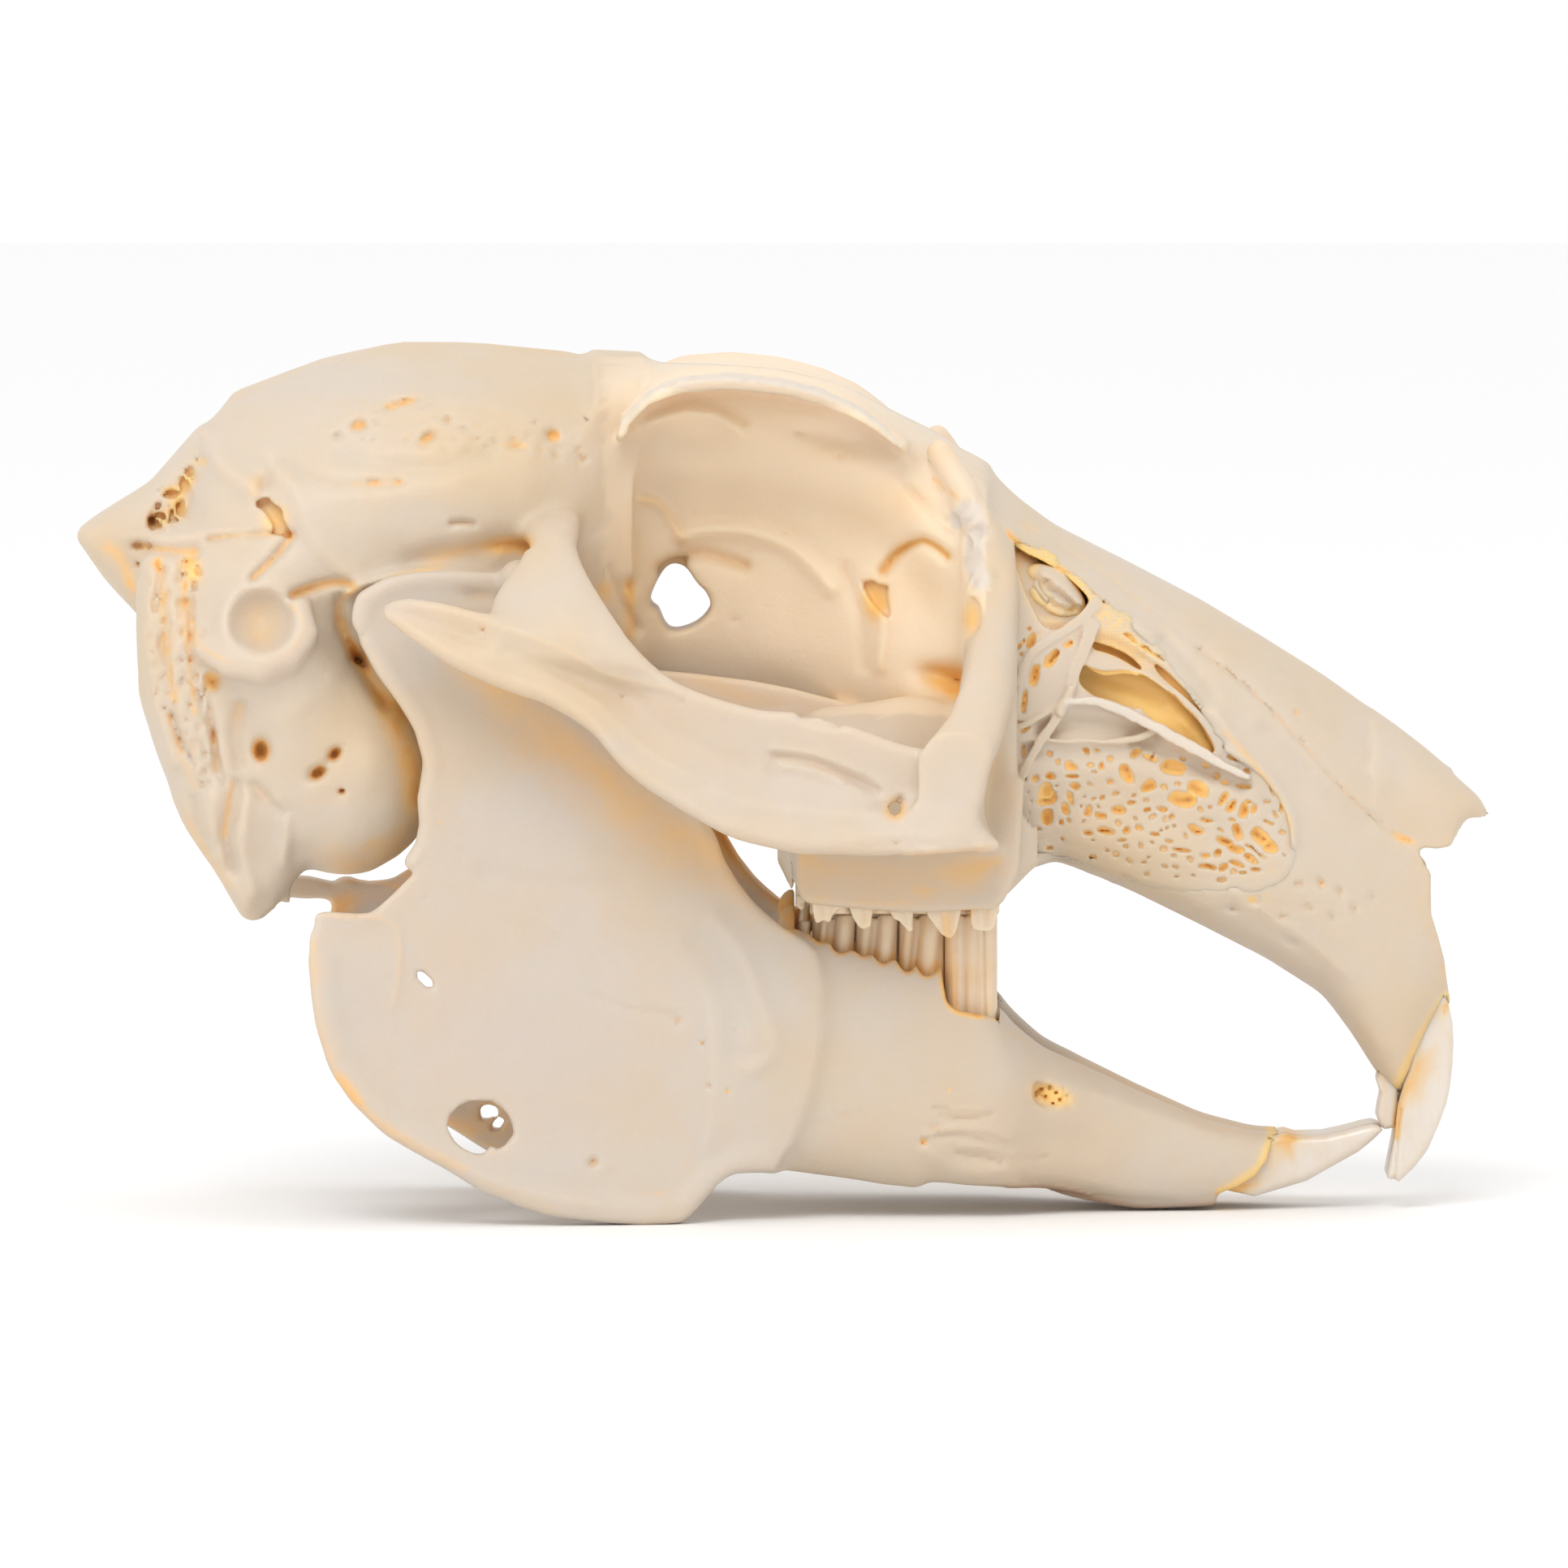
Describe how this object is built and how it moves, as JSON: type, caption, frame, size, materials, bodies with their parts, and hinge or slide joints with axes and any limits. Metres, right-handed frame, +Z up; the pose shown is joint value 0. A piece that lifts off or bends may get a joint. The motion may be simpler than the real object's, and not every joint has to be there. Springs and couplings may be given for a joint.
{
  "type": "european rabbit skull",
  "caption": "Cleaned adult rabbit skull with its lower jaw in place: domed braincase, ear bullae, winged brows, pierced cheek bone, slender cheek arches and curved gnawing incisors.",
  "frame": {"origin": "on the resting plane, under the middle of the bounding box; the middle plane of the skull is Y = 0", "axes": "+X towards the snout, +Y towards the animal's left, +Z up as the skull stands on its lower jaw"},
  "size_m": [0.0802, 0.0418, 0.049],
  "materials": {
    "bone_cranium": "matte",
    "bone_mandible": "matte",
    "incisor": "semi-gloss",
    "cheek_tooth": "satin"
  },
  "bodies": {
    "root": {"cranium": "bone_cranium", "mandible_right": "bone_mandible", "mandible_left": "bone_mandible", "upper_incisor_right": "incisor", "upper_incisor_left": "incisor", "peg_incisor_right": "incisor", "peg_incisor_left": "incisor", "lower_incisor_right": "incisor", "lower_incisor_left": "incisor", "upper_cheek_right_1": "cheek_tooth", "upper_cheek_right_2": "cheek_tooth", "upper_cheek_right_3": "cheek_tooth", "upper_cheek_right_4": "cheek_tooth", "upper_cheek_right_5": "cheek_tooth", "upper_cheek_right_6": "cheek_tooth", "upper_cheek_left_1": "cheek_tooth", "upper_cheek_left_2": "cheek_tooth", "upper_cheek_left_3": "cheek_tooth", "upper_cheek_left_4": "cheek_tooth", "upper_cheek_left_5": "cheek_tooth", "upper_cheek_left_6": "cheek_tooth", "lower_cheek_right_1": "cheek_tooth", "lower_cheek_right_2": "cheek_tooth", "lower_cheek_right_3": "cheek_tooth", "lower_cheek_right_4": "cheek_tooth", "lower_cheek_right_5": "cheek_tooth", "lower_cheek_left_1": "cheek_tooth", "lower_cheek_left_2": "cheek_tooth", "lower_cheek_left_3": "cheek_tooth", "lower_cheek_left_4": "cheek_tooth", "lower_cheek_left_5": "cheek_tooth"}
  },
  "joints": []
}
